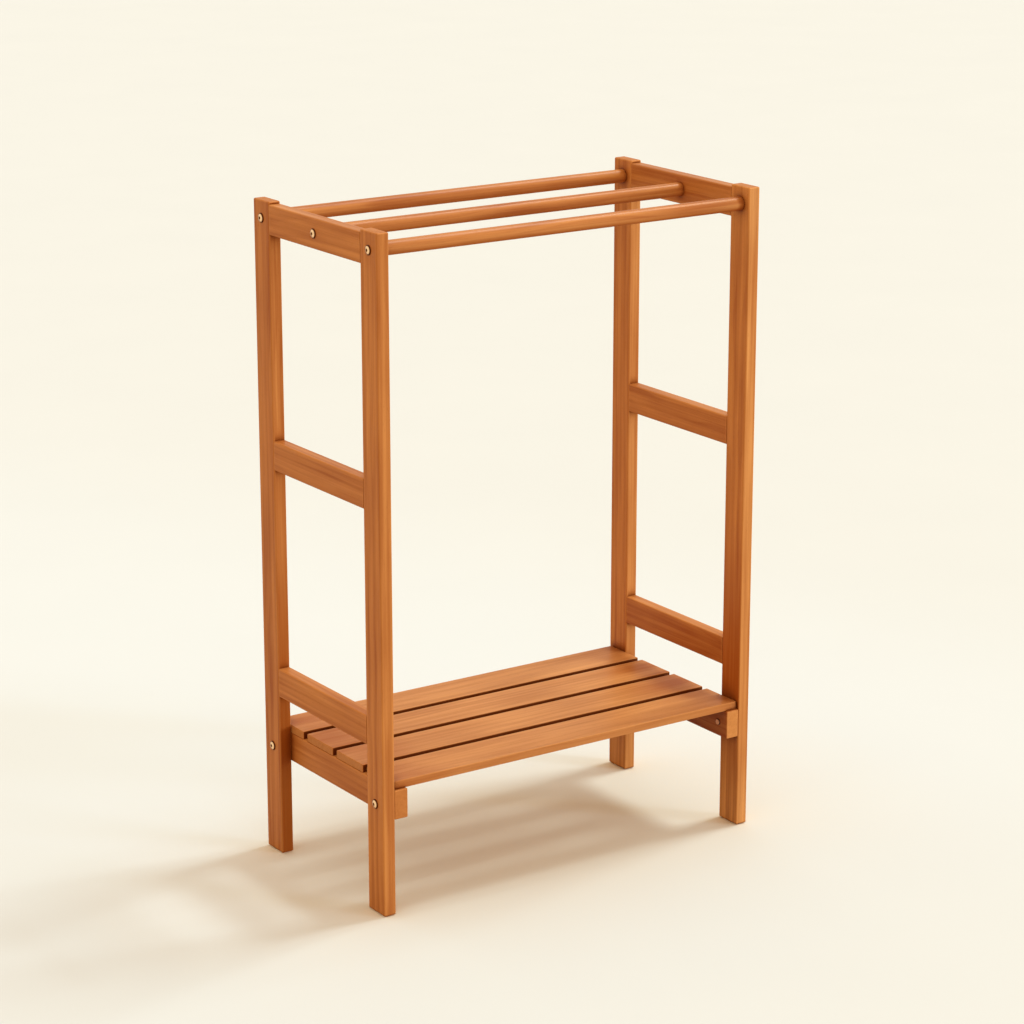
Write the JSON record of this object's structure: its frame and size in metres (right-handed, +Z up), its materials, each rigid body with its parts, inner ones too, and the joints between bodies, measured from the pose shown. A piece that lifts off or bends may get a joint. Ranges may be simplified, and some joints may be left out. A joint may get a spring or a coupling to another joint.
{
  "type": "blanket stand",
  "caption": "Free-standing wooden blanket stand: ladder-shaped side frames joined by round hanging bars at the top and a low slatted shelf, bolted together with brass-headed bolts.",
  "frame": {"origin": "on the floor, under the middle of the stand", "axes": "+X along the bars, to the right as seen from the front; +Y from the front to the rear; +Z up"},
  "size_m": [0.6026, 0.3048, 0.9017],
  "materials": {
    "frame_wood": "satin clear lacquer over straight orange-brown grain",
    "bar_wood": "satin clear lacquer over straight orange-brown grain",
    "bearer_wood": "satin clear lacquer over straight orange-brown grain",
    "slat_wood": "satin clear lacquer over straight orange-brown grain",
    "dowel_wood": "bare turned wood",
    "bolt_brass": "bright brass plating",
    "insert_brass": "dull turned brass"
  },
  "bodies": {
    "root": {"left_front_post": "frame_wood", "left_rear_post": "frame_wood", "left_top_rail": "frame_wood", "left_middle_rail": "frame_wood", "left_lower_rail": "frame_wood", "left_rail_dowels": "dowel_wood", "left_shelf_bearer": "bearer_wood", "right_front_post": "frame_wood", "right_rear_post": "frame_wood", "right_top_rail": "frame_wood", "right_middle_rail": "frame_wood", "right_lower_rail": "frame_wood", "right_rail_dowels": "dowel_wood", "right_shelf_bearer": "bearer_wood", "front_bar": "bar_wood", "middle_bar": "bar_wood", "rear_bar": "bar_wood", "rear_slat": "slat_wood", "rear_middle_slat": "slat_wood", "front_middle_slat": "slat_wood", "front_slat": "slat_wood", "slat_dowels": "dowel_wood", "bar_inserts": "insert_brass", "bar_bolts": "bolt_brass", "bearer_inserts": "insert_brass", "bearer_bolts": "bolt_brass"}
  },
  "joints": []
}
